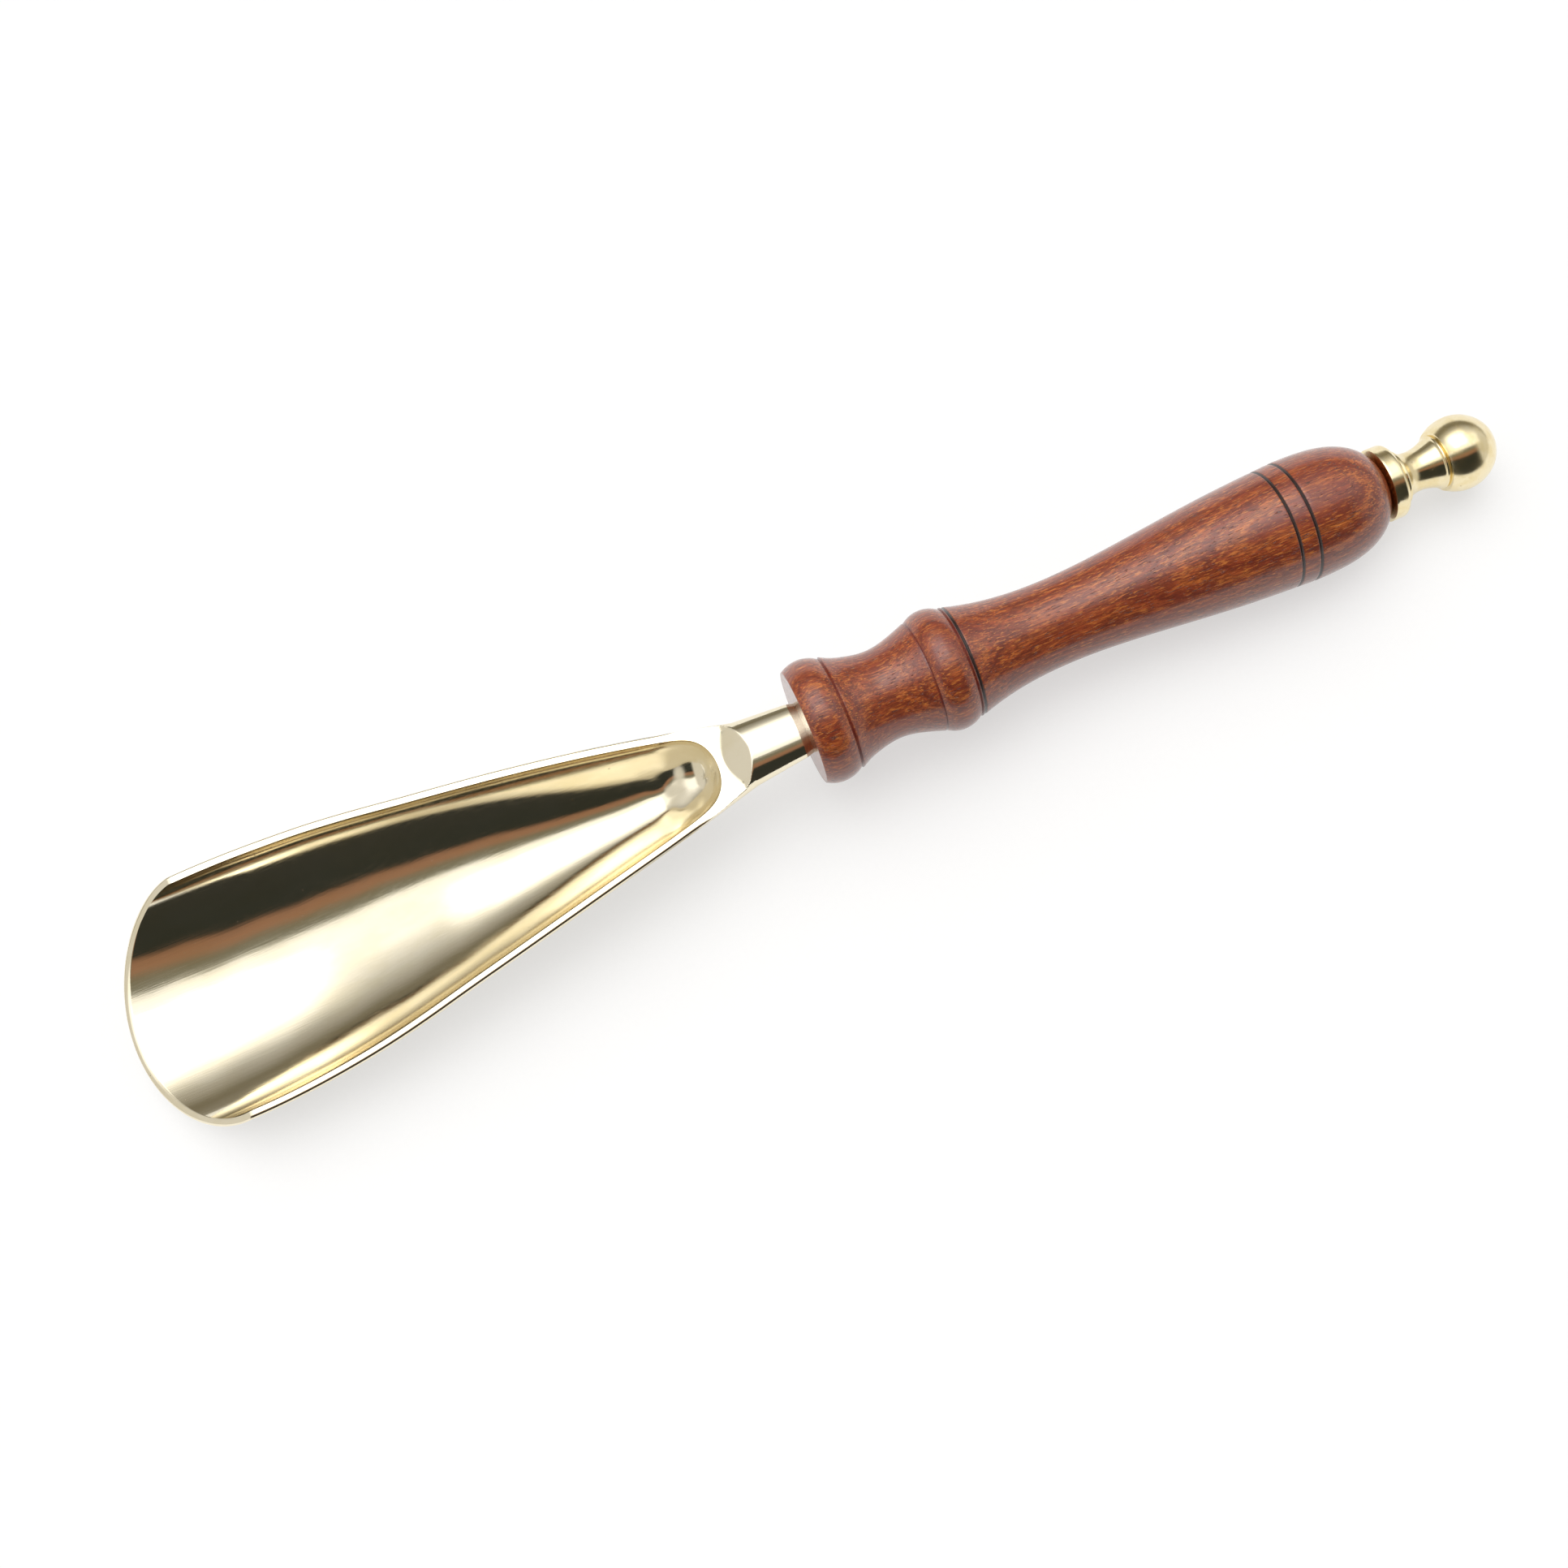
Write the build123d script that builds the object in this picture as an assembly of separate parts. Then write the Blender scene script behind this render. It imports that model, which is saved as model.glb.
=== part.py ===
from build123d import *
import math
import os

# Long shoehorn: a cast brass scoop with a neck, a turned wooden handle, a brass ball finial and the
# stud that clamps the three together. Millimetres. The parts are drawn along the handle's axis, with
# x = 0 at the handle's front face and +X towards the finial, and are then tilted as they lie at rest.

# --- driving dimensions ---------------------------------------------------------------------------
HANDLE_LENGTH = 128.8
GRIP_RADIUS = 12.95
GRIP_WIDEST_X = 109.9

TIP_X = -153.1
TIP_ROUNDING = 21.0
TIP_HALF_WIDTH = 27.5
WALL = 2.0
RIM_WIDTH = 1.4
TIP_WALL = 1.2
TIP_WALL_END_X = -145.0  # the wall is the thinner one between here and the tip

# Outer sections of the casting: place, half width, height of the widest line, height of the belly,
# height of the crown. The scoop's rims are cut about 2 mm below the widest line. The last sections
# are the neck, a flattened oval about half as high as it is wide.
OUTER_SECTIONS = [
    (-156.0, 25.8, -12.1, -26.6, -4.3),
    (-140.6, 26.5, -11.3, -28.4, -3.5),
    (-127.5, 26.8, -10.5, -29.1, -3.0),
    (-114.5, 26.2, -9.1, -28.1, -2.0),
    (-98.1, 24.4, -6.8, -24.9, 0.0),
    (-81.8, 21.5, -4.0, -20.9, 2.5),
    (-65.4, 18.5, -1.5, -17.9, 4.5),
    (-49.1, 15.3, 0.3, -15.8, 6.0),
    (-32.7, 11.8, 0.6, -13.4, 5.0),
    (-22.0, 9.2, -0.6, -9.7, 3.8),
    (-13.4, 7.1, -1.2, -5.6, 3.2),
    (-8.0, 6.5, -0.6, -4.3, 3.1),
    (-1.6, 5.93, 0.0, -3.1, 3.1),
]
NECK_END = (0.0, 5.64, 0.0, -2.85, 2.85)  # chamfered end that meets the handle

# Side profile of the rims, from the tip up to the facet on top of the neck.
RIM_PROFILE = [(-158.0, -14.0), (-127.5, -12.5), (-98.1, -8.8), (-65.4, -3.5), (-38.0, -0.8), (-26.0, -0.5)]
LIP_POINT = (-17.4, 0.3)
FACET_TOP = (-11.5, 3.6)

# The hollow's inner half width and floor height near its rounded end, where it leaves the outer shape.
HOLLOW_END = [(-32.7, 10.3, -11.3), (-26.2, 8.5, -8.9), (-22.4, 7.0, -6.2), (-20.2, 4.8, -2.8)]

REST_TILT = 3.84  # slope in degrees that puts the scoop's belly and the grip both on the ground

STUD_RADIUS = 2.0
SHANK_RADIUS = 1.78
BORE_RADIUS = 2.25
TAPPED_RADIUS = 2.02
NECK_HOLE_DEPTH = 13.0
FINIAL_HOLE_DEPTH = 12.5
STUD_END_GAP = 1.0  # left free at the bottom of each tapped hole
STUD_CHAMFER = 0.5
THREAD_LENGTH = 16.0

FLANGE_RADIUS = 7.9
STEP_RADIUS = 5.95
WAIST_RADIUS = 4.3
RING_RADIUS = 5.8
BALL_RADIUS = 7.9
BALL_CENTRE_X = 147.0

GROOVES = [(34.95, 11.8), (104.9, 12.82), (108.9, 12.94)]  # place and radius of the grip there
GROOVE_WIDTH = 0.6
GROOVE_DEPTH = 0.35

ABOVE = 30.0  # reach of a cutting shape past what it cuts
CIRCLE_CURVE = 0.5523  # control point share that makes a cubic curve follow a quarter ellipse
SCOOP_CURVE = 0.4  # smaller share, for the scoop's flatter belly


def quarter_curve(x, side, half_width, edge_z, mid_z, share):
    """Quarter of a section: from the side edge, leaving it upright, to the middle, arriving level."""
    return Bezier(
        (x, side * half_width, edge_z),
        (x, side * half_width, edge_z + share * (mid_z - edge_z)),
        (x, side * half_width * CIRCLE_CURVE, mid_z),
        (x, 0, mid_z),
    )


def outer_section(x, half_width, edge_z, belly_z, crown_z):
    """Closed outline of the casting across its length: belly below the widest line, crown above."""
    share = SCOOP_CURVE if half_width > TIP_HALF_WIDTH / 2 else CIRCLE_CURVE
    edges = [quarter_curve(x, side, half_width, edge_z, belly_z, share) for side in (1, -1)]
    edges += [quarter_curve(x, side, half_width, edge_z, crown_z, CIRCLE_CURVE) for side in (-1, 1)]
    return Wire(edges)


def hollow_section(x, half_width, floor_z, edge_z):
    """Closed outline of the heel space at x, carried up past the rims."""
    top_z = edge_z + ABOVE
    right, left = (x, half_width, edge_z), (x, -half_width, edge_z)
    curves = [quarter_curve(x, side, half_width, edge_z, floor_z, SCOOP_CURVE) for side in (1, -1)]
    top_right, top_left = (x, half_width, top_z), (x, -half_width, top_z)
    lines = [Line(left, top_left), Line(top_left, top_right), Line(top_right, right)]
    return Wire(curves + lines)


def hollow():
    """Heel space: it follows the outer sections one wall inside them, then closes in a horseshoe."""
    wires = []
    for x, half_width, edge_z, belly_z, _ in OUTER_SECTIONS:
        if x < HOLLOW_END[0][0]:
            wall = TIP_WALL if x < TIP_WALL_END_X else WALL
            wires.append(hollow_section(x, half_width - RIM_WIDTH, belly_z + wall, edge_z))
    for x, half_width, floor_z in HOLLOW_END:
        wires.append(hollow_section(x, half_width, floor_z, 0))
    return Solid.make_loft(wires)


def above_rims():
    """Everything over the rims: a side profile swept right across the casting."""
    front = Spline(*[(x, 0, z) for x, z in RIM_PROFILE])
    lip = Spline(front @ 1, (LIP_POINT[0], 0, LIP_POINT[1]), tangents=[front % 1, (2, 0, 1)])
    start = front @ 0
    end = (FACET_TOP[0], 0, FACET_TOP[1])
    facet = Line(lip @ 1, end)
    over = Polyline(end, (FACET_TOP[0], 0, ABOVE), (start.X, 0, ABOVE), start)
    outline = Wire([front, lip, facet, *over.edges()])
    return extrude(Face(outline), amount=ABOVE, dir=(0, 1, 0), both=True)


def plan_shape():
    """Upright prism with the scoop's rounded tip in plan and room for the rest of the casting."""
    centre_x = TIP_X + TIP_ROUNDING
    with BuildSketch() as plan:
        with Locations((centre_x, 0)):
            Ellipse(TIP_ROUNDING, TIP_HALF_WIDTH)
        with Locations((centre_x / 2 + ABOVE, 0)):
            Rectangle(-centre_x + 2 * ABOVE, 2 * TIP_HALF_WIDTH)
    return extrude(plan.sketch, amount=2 * ABOVE, both=True)


def turned(*lines):
    """Solid of revolution about the handle's axis, from lines in the XZ plane that end on the axis."""
    edges = [edge for line in lines for edge in line.edges()]
    return revolve(Face(Wire(edges)), axis=Axis.X)


def rod(radius, start_x, end_x):
    """Plain round rod along the handle's axis."""
    return Plane.YZ.offset(start_x) * Solid.make_cylinder(radius, end_x - start_x)


def blade():
    """Scoop, shoulder and neck in one casting, with a tapped hole in the end of the neck."""
    body = Solid.make_loft([outer_section(*section) for section in OUTER_SECTIONS])
    body += Solid.make_loft([outer_section(*OUTER_SECTIONS[-1]), outer_section(*NECK_END)], ruled=True)
    body = body & plan_shape()
    body -= above_rims()
    body -= hollow()
    return body - rod(TAPPED_RADIUS, -NECK_HOLE_DEPTH, 1)


def handle_outline():
    """Turned profile of the wood from its front face to the end of the dome, as edges in XZ."""
    front_bead = ThreePointArc((0, 0, 12.0), (3.6, 0, 13.1), (7.6, 0, 11.95))
    quirk = Polyline(front_bead @ 1, (7.8, 0, 11.75), (8.1, 0, 12.0))
    cove = Spline(
        quirk @ 1, (12.6, 0, 10.25), (17.7, 0, 9.5), (22.6, 0, 10.4), (26.4, 0, 11.65),
        tangents=[(1, 0, -0.5), (1, 0, 0.2)],
    )
    step = Line(cove @ 1, (26.6, 0, 11.5))
    main_bead = ThreePointArc(step @ 1, (30.4, 0, 12.9), (34.1, 0, 11.7))
    fillet = Polyline(main_bead @ 1, (34.3, 0, 11.55), (34.6, 0, 11.85))
    grip = Spline(
        fillet @ 1, (42.6, 0, 9.95), (54.8, 0, 8.93), (72.5, 0, 9.9), (93.0, 0, 11.95),
        (GRIP_WIDEST_X, 0, GRIP_RADIUS),
        tangents=[(1, 0, -0.3), (1, 0, 0)],
    )
    dome = Spline(
        grip @ 1, (122.4, 0, 11.7), (126.9, 0, 9.3), (HANDLE_LENGTH, 0, 4.9),
        tangents=[(1, 0, 0), (0.05, 0, -1)],
    )
    return [front_bead, quirk, cove, step, main_bead, fillet, grip, dome]


def ring_groove(x, radius):
    """Cutting ring with a V section, for a burnt line around the handle."""
    half = GROOVE_WIDTH / 2
    corners = [(x - half, 0, radius), (x, 0, radius - GROOVE_DEPTH), (x + half, 0, radius)]
    corners += [(x + half, 0, radius + 1), (x - half, 0, radius + 1)]
    return revolve(Face(Wire.make_polygon([Vector(*c) for c in corners])), axis=Axis.X)


def handle():
    """One-piece turned handle, bored through for the stud."""
    outline = handle_outline()
    start, end = outline[0] @ 0, outline[-1] @ 1
    closing = [Line((0, 0, 0), start), Line(end, (end.X, 0, 0)), Line((end.X, 0, 0), (0, 0, 0))]
    body = turned(closing[0], *outline, *closing[1:])
    for x, radius in GROOVES:
        body -= ring_groove(x, radius)
    return body - rod(BORE_RADIUS, -1, HANDLE_LENGTH + 1)


def finial():
    """Turned knob: stepped flange, waist, ring bead and ball, tapped from the flange side."""
    base = HANDLE_LENGTH
    flange_face = Line((base, 0, 0), (base, 0, FLANGE_RADIUS - 0.15))
    flange_edge = Line(flange_face @ 1, (base + 0.15, 0, FLANGE_RADIUS))
    rim = Line(flange_edge @ 1, (base + 2.5, 0, FLANGE_RADIUS))
    rim_middle = (base + 3.2, 0, FLANGE_RADIUS - 0.35)
    rim_round = ThreePointArc(rim @ 1, rim_middle, (base + 3.5, 0, FLANGE_RADIUS - 1.0))
    shoulder = Line(rim_round @ 1, (base + 3.6, 0, STEP_RADIUS + 0.1))
    step = Polyline(shoulder @ 1, (base + 4.7, 0, STEP_RADIUS - 0.15), (base + 4.9, 0, STEP_RADIUS - 0.6))
    waist = Spline(
        step @ 1, (base + 7.9, 0, WAIST_RADIUS), (base + 12.7, 0, RING_RADIUS - 0.45),
        tangents=[(0.6, 0, -1), (1, 0, 0.6)],
    )
    ring_start = (base + 12.8, 0, RING_RADIUS - 0.1)
    ring_end = (base + 13.4, 0, RING_RADIUS - 0.1)
    ring = ThreePointArc(ring_start, (base + 13.1, 0, RING_RADIUS), ring_end)
    neck_x = base + 13.6
    ball_start_radius = math.sqrt(BALL_RADIUS**2 - (BALL_CENTRE_X - neck_x) ** 2)
    groove = Polyline(ring_end, (base + 13.5, 0, RING_RADIUS - 0.3), (neck_x, 0, ball_start_radius))
    crown = (BALL_CENTRE_X, 0, BALL_RADIUS)
    ball = ThreePointArc(groove @ 1, crown, (BALL_CENTRE_X + BALL_RADIUS, 0, 0))
    axis_line = Line(ball @ 1, (base, 0, 0))
    edges = [flange_face, flange_edge, rim, rim_round, shoulder, step, waist]
    edges += [Line(waist @ 1, ring_start), ring, groove, ball, axis_line]
    return turned(*edges) - rod(TAPPED_RADIUS, base - 1, base + FINIAL_HOLE_DEPTH)


def tie_rod():
    """Stud with rolled threads at both ends and a thinner shank between them."""
    start_x = STUD_END_GAP - NECK_HOLE_DEPTH
    end_x = HANDLE_LENGTH + FINIAL_HOLE_DEPTH - STUD_END_GAP
    shank = rod(SHANK_RADIUS, start_x + THREAD_LENGTH, end_x - THREAD_LENGTH)
    neck_thread = rod(STUD_RADIUS, start_x, start_x + THREAD_LENGTH)
    finial_thread = rod(STUD_RADIUS, end_x - THREAD_LENGTH, end_x)
    body = shank + neck_thread + finial_thread
    ends = body.edges().filter_by(GeomType.CIRCLE).sort_by(Axis.X)
    return chamfer([ends[0], ends[-1]], STUD_CHAMFER)


def rest_place(parts):
    """Where the part lies: scoop belly and widest part of the grip on the ground, box centred over it."""
    tilted = Rotation(0, REST_TILT, 0)
    box = Compound([tilted * part for part in parts]).bounding_box()
    centre = box.center()
    return Location((-centre.X, -centre.Y, -box.min.Z)) * tilted


def write_parts():
    """Write one STEP file for each piece."""
    parts = {"blade": blade(), "handle": handle(), "finial": finial(), "tie_rod": tie_rod()}
    place = rest_place(list(parts.values()))
    print("place of the handle's front face", place.position, "tilt", place.orientation)
    os.makedirs("parts", exist_ok=True)
    for name, part in parts.items():
        placed = place * part
        placed.label = name
        export_step(placed, f"parts/{name}.step")


write_parts()
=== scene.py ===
import math

import bmesh
import bpy
import numpy as np
from mathutils import Matrix, Vector


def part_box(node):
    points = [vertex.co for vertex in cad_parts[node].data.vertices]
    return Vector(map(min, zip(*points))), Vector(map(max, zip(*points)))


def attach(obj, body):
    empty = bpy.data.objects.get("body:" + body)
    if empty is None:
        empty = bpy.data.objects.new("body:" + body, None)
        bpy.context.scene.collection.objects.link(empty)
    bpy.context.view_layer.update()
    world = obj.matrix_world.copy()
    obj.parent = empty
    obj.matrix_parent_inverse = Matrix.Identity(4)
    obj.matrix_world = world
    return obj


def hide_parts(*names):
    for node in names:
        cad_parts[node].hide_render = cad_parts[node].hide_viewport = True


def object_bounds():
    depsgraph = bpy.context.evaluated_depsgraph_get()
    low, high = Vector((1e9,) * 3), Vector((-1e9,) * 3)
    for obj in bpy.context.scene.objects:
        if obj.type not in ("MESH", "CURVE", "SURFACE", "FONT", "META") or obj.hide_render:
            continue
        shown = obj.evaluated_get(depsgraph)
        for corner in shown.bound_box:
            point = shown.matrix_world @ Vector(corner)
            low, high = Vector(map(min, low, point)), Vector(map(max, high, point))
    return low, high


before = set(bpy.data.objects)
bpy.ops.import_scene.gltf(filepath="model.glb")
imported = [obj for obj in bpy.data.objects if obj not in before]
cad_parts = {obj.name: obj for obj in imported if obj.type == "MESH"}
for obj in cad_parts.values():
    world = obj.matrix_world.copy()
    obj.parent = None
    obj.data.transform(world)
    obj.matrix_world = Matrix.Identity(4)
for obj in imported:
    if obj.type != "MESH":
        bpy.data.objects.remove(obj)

cad_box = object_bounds()
MM = 0.001

# Every piece is drawn in millimetres along the handle's axis, as in the CAD: x = 0 at the handle's
# front face, +X towards the finial, +Z out of the scoop. handle_frame() places that in the row frame.

# --- handle's axis -------------------------------------------------------------------------------
ROD_MIDDLE_X = 64.15
BALL_CENTRE_X = 147.0
BALL_RADIUS = 7.9

# --- camera, placed in the handle's frame --------------------------------------------------------
CAMERA_PLACE = (-35.05, -98.0, 372.94)
CAMERA_AIM = (-8.18, -9.12, 0.0)
CAMERA_LENS = 44.106
AXIS_ANGLE = 22.93  # degrees by which the handle climbs across the picture

# --- blade ---------------------------------------------------------------------------------------
TIP_X = -153.1
TIP_ROUNDING = 21.0
TIP_FOOT_REACH = 13.0  # how far the feet of the tip's rays move towards the tip as the rays turn
TIP_BLEND = 0.5  # turn in radians over which the side rims' section becomes the tip's
FAR_RIM = (1.6, 0.55)  # width of the rim's face and rounding of its outer corner
NEAR_RIM = (1.5, 0.75)
TIP_RIM_WIDTH = 1.7
RIM_TILT = 0.05
EDGE_RISE = 0.12  # height of the rim's upright side, above the belly
TIP_EDGE_RISE = 0.45  # what the tip adds to it
TIP_WALL = 1.5  # thickness under the floor's middle at the tip
FULL_WALL = 2.0  # thickness past WALL_GROWS
WALL_GROWS = (-150.0, -135.0)
SHOULDER_X = -40.0
NECK_START_X = -13.0
CHAMFER_START_X = -1.6
CHAMFER_SHARE = 0.049
CIRCLE_CURVE = 0.5523  # control point share that makes a cubic curve follow a quarter ellipse
SCOOP_CURVE = 0.4  # smaller share, for the scoop's flatter belly
BELLY_ROUNDS = (-45.0, -15.0)  # where the belly goes from the one share to the other
EDGE_SETTLES = (-52.0, -20.0)  # where the widest line leaves the rims for the neck's side
CORNER_FADES = (-30.0, -22.0)  # where the rounding of the rims' outer corners ends
CUT_CORNER = 0.08  # rounding between the cut faces and the crown

HORSESHOE_START_X = -45.0
HOLLOW_END_X = -18.8
END_BLUNTNESS = 12.0  # power that squares off the hollow's rounded end
END_WALL_START_X = -32.0
END_WALL_POWERS = (5.0, 1.5)  # how late and how steeply the floor climbs the end wall
LAST_FOOT_X = -23.0  # foot of the end wall's middle ray
LEAST_WIDTH = 1e-6  # keeps shares finite where the hollow closes

FACET_START_X = -17.4
FACET_END = (-12.4, 3.0)
FACET_SLOPE = 0.54
FACET_BOW = 0.05
FACET_BOW_REACH = 6.0
FACET_BOW_GROWS = (-24.0, -19.0)

HALF_WIDTHS = [
    (-158.0, 25.6), (-140.6, 26.5), (-127.5, 26.8), (-114.5, 26.2), (-98.1, 24.4), (-81.8, 21.5),
    (-65.4, 18.5), (-49.1, 15.3), (-32.7, 11.8), (-22.0, 9.25), (NECK_START_X, 7.05),
]
NECK_HALF_WIDTHS = [(NECK_START_X, 7.05), (CHAMFER_START_X, 5.93)]
BELLY = [
    (-158.0, -26.3), (-140.6, -28.4), (-127.5, -29.1), (-114.5, -28.1), (-98.1, -24.9), (-81.8, -20.9),
    (-65.4, -17.9), (-49.1, -15.8), (-32.7, -13.4), (-22.0, -9.7), (-13.4, -5.6), (-8.0, -4.3),
    (CHAMFER_START_X, -3.1), (0.0, -3.0),
]
RIM_PROFILE = [
    (-158.0, -14.0), (-127.5, -12.5), (-98.1, -8.8), (-65.4, -3.5), (-38.0, -0.8), (-26.0, -0.5),
    (FACET_START_X, 0.3),
]
CROWN = [(-45.0, 6.0), (-32.7, 5.0), (-22.0, 3.8), (-16.0, 3.3), FACET_END]
NECK_CROWN = [FACET_END, (CHAMFER_START_X, 3.1)]
WIDEST_LINE = [(-26.0, -1.0), (NECK_START_X, -1.2), (CHAMFER_START_X, 0.0), (0.0, 0.0)]

# Traces of work by hand. A rate is in radians per millimetre.
WAVE_COUNT = 14
WAVE_HEIGHT = 0.045
WAVE_RATES = (0.06, 0.55)
CROSS_RATES = (-0.5, 0.5)
FULL_WAVE_RATE = 0.3  # a wave of this rate has the full height, and longer ones are higher
WAVES_GROW = (6.0, 14.0)  # distance from the handle over which the waves set in
HAMMER_HEIGHT = 0.26
HAMMER_RATES = (0.4, 1.3)
HAMMER_GROWS = (-36.0, -28.0)

# Mesh of the blade: numbers of steps across and along each stretch.
BELLY_ROWS = 44
BAND_ROWS = 14
BAND_CROWDING = 2.0  # above 1, a band's rows crowd towards its outer corner
END_RAYS = 44
NECK_STEPS = 96
SIDE_STEPS = 84
TIP_STEPS = 64
SEARCH_STEPS = 2000  # fine steps in which curves are measured
CROWN_START_ANGLE = 15.0  # degrees up the neck's section where its side band ends


def natural_spline(points):
    """Smooth curve through the points, as a function of x."""
    xs, ys = np.array(points, float).T
    gaps = np.diff(xs)
    slopes = np.diff(ys) / gaps
    last = len(xs) - 2
    matrix, right = np.eye(len(xs)), np.zeros(len(xs))
    for i in range(1, last + 1):
        matrix[i, i - 1 : i + 2] = gaps[i - 1], 2 * (gaps[i - 1] + gaps[i]), gaps[i]
        right[i] = 6 * (slopes[i] - slopes[i - 1])
    bends = np.linalg.solve(matrix, right)

    def curve(x):
        i = np.clip(np.searchsorted(xs, x) - 1, 0, last)
        step = x - xs[i]
        start_slope = slopes[i] - gaps[i] * (2 * bends[i] + bends[i + 1]) / 6
        change = step * (bends[i + 1] - bends[i]) / (6 * gaps[i])
        return ys[i] + step * (start_slope + step * (bends[i] / 2 + change))

    return curve


def smooth_step(value, start, end):
    t = np.clip((value - start) / (end - start), 0, 1)
    return t * t * (3 - 2 * t)


def smooth_min(a, b, reach):
    """The lower of two heights, with the corner between them rounded."""
    share = np.clip(0.5 + 0.5 * (b - a) / reach, 0, 1)
    return b + (a - b) * share - reach * share * (1 - share)


def joined(first, second, x_join):
    """One function up to x_join and another past it."""
    return lambda x: np.where(x < x_join, first(np.minimum(x, x_join)), second(np.maximum(x, x_join)))


half_width = joined(natural_spline(HALF_WIDTHS), natural_spline(NECK_HALF_WIDTHS), NECK_START_X)
crown_curve = natural_spline(CROWN)
neck_crown = natural_spline(NECK_CROWN)
belly_height = natural_spline(BELLY)
rim_height = natural_spline(RIM_PROFILE)


def shoulder_crown(x):
    """Crown of the shoulder, level over the scoop, where the cut takes it away."""
    return crown_curve(np.maximum(x, CROWN[0][0]))


crown_height = joined(shoulder_crown, neck_crown, FACET_END[0])

# Half of a section as one cubic curve: its steps, and its half width at each step.
CURVE_STEPS = np.linspace(0, 1, 2 * SEARCH_STEPS + 1)
CURVE_WIDTHS = (1 - CURVE_STEPS) ** 3 + 3 * (1 - CURVE_STEPS) ** 2 * CURVE_STEPS
CURVE_WIDTHS = CURVE_WIDTHS + 3 * (1 - CURVE_STEPS) * CURVE_STEPS**2 * CIRCLE_CURVE


def section_depth(share_of_width, shoulder):
    """How far down a section is, from 0 at its edge to 1 in its middle."""
    t = np.interp(-np.clip(np.abs(share_of_width), 0, 1), -CURVE_WIDTHS, CURVE_STEPS)
    return 3 * (1 - t) ** 2 * t * shoulder + 3 * (1 - t) * t**2 + t**3


def cut_height(x, y=0.0):
    """Height of the rims, the lip and the facet on top of the shoulder, whose front edge is bowed."""
    start_x = FACET_START_X + FACET_BOW * np.square(y)
    facet = rim_height(start_x) + FACET_SLOPE * (x - start_x)
    return np.where(x < start_x, rim_height(np.minimum(x, start_x)), facet)


def edge_height(x, rim):
    """Height of the casting's widest line: under the rims' outer corners, then along the neck's side."""
    scoop = rim_height(np.minimum(x, SHOULDER_X)) - rim[1] - EDGE_RISE
    neck = np.interp(x, *np.transpose(WIDEST_LINE))
    settle = smooth_step(x, *EDGE_SETTLES)
    return scoop * (1 - settle) + neck * settle


def belly(x, y, rim):
    """Underside of the scoop, shoulder and neck."""
    shoulder = SCOOP_CURVE + (CIRCLE_CURVE - SCOOP_CURVE) * smooth_step(x, *BELLY_ROUNDS)
    top = edge_height(x, rim)
    return top + (belly_height(x) - top) * section_depth(y / half_width(x), shoulder)


def top_surface(x, y, rim):
    """Rims, lip, facet and the neck's upper half."""
    width = half_width(x)
    start = edge_height(x, rim) + EDGE_RISE
    crown = start + (crown_height(x) - start) * np.sqrt(np.clip(1 - (y / width) ** 2, 0, 1))
    bow_y = np.minimum(np.abs(y), FACET_BOW_REACH) * smooth_step(x, *FACET_BOW_GROWS)
    inward = width - np.abs(y)
    corner = np.clip(1 - inward / rim[1], 0, 1)
    rounding = rim[1] * (1 - np.sqrt(1 - corner**2)) * (1 - smooth_step(x, *CORNER_FADES))
    return smooth_min(crown, cut_height(x, bow_y) - RIM_TILT * inward - rounding, CUT_CORNER)


def hollow_width(x, rim):
    """Half width of the heel space between its rims, closing in a horseshoe at the shoulder."""
    t = np.clip((x - HORSESHOE_START_X) / (HOLLOW_END_X - HORSESHOE_START_X), 0, 1)
    return (half_width(x) - rim[0]) * np.sqrt(1 - t**END_BLUNTNESS)


def floor_line(x):
    """Height of the scoop's inner surface along its middle."""
    wall = TIP_WALL + (FULL_WALL - TIP_WALL) * smooth_step(x, *WALL_GROWS)
    t = np.clip((x - END_WALL_START_X) / (HOLLOW_END_X - END_WALL_START_X), 0, 1)
    late, steep = END_WALL_POWERS
    full = cut_height(x) - belly_height(x) - wall
    return cut_height(x) - full * (1 - t**late) ** (1 / steep)


def floor(x, y, rim):
    """Inner surface of the scoop."""
    width = hollow_width(x, rim)
    edge = top_surface(x, width, rim)
    depth = section_depth(y / np.maximum(width, LEAST_WIDTH), SCOOP_CURVE)
    return edge + (floor_line(x) + hammer_marks(x, y) - edge) * depth


def spread(count, start, end, crowd=1.0):
    """Steps from start to end, crowded towards the start when crowd is above 1."""
    return start + (end - start) * np.linspace(0, 1, count + 1) ** crowd


WIDTH_SHARES = np.interp(np.linspace(0, 1, BELLY_ROWS + 1), CURVE_STEPS, CURVE_WIDTHS)
BAND_STEPS = spread(BAND_ROWS, 0, 1, BAND_CROWDING)[1:]


def grid(x, y, z):
    """Rows of points from rows of their coordinates."""
    return np.stack(np.broadcast_arrays(x, y, z), -1)


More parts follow.
